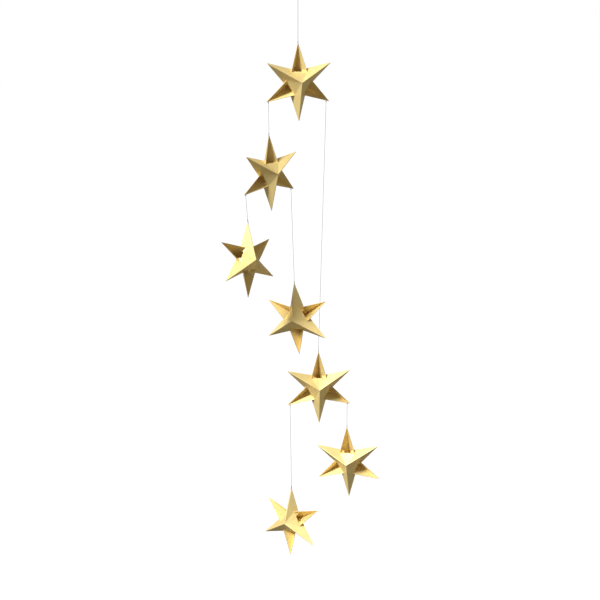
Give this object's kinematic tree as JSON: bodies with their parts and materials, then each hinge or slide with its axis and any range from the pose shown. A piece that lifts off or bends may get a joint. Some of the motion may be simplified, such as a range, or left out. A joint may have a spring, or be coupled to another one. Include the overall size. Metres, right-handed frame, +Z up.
{
  "type": "hanging star mobile",
  "caption": "Hanging mobile of six-pointed stars, each folded from two gold card shells, hung below one another on fine threads in a branching tree.",
  "frame": {"origin": "in the top of the hanging loop, where its hook bears, on the line of the thread", "axes": "+Z up along the hanging thread, +X to the viewer's right and +Y away from the viewer"},
  "size_m": [0.1693, 0.0951, 0.6344],
  "materials": {
    "gold_card": "satin metallic gold, fine grain",
    "thread": "fine pale twisted thread"
  },
  "bodies": {
    "root": {"star_1_front_shell": "gold_card", "star_1_back_shell": "gold_card", "star_2_front_shell": "gold_card", "star_2_back_shell": "gold_card", "star_3_front_shell": "gold_card", "star_3_back_shell": "gold_card", "star_4_front_shell": "gold_card", "star_4_back_shell": "gold_card", "star_5_front_shell": "gold_card", "star_5_back_shell": "gold_card", "star_6_front_shell": "gold_card", "star_6_back_shell": "gold_card", "star_7_front_shell": "gold_card", "star_7_back_shell": "gold_card", "star_1_thread": "thread", "star_2_thread": "thread", "star_3_thread": "thread", "star_4_thread": "thread", "star_5_thread": "thread", "star_6_thread": "thread", "star_7_thread": "thread"}
  },
  "joints": []
}
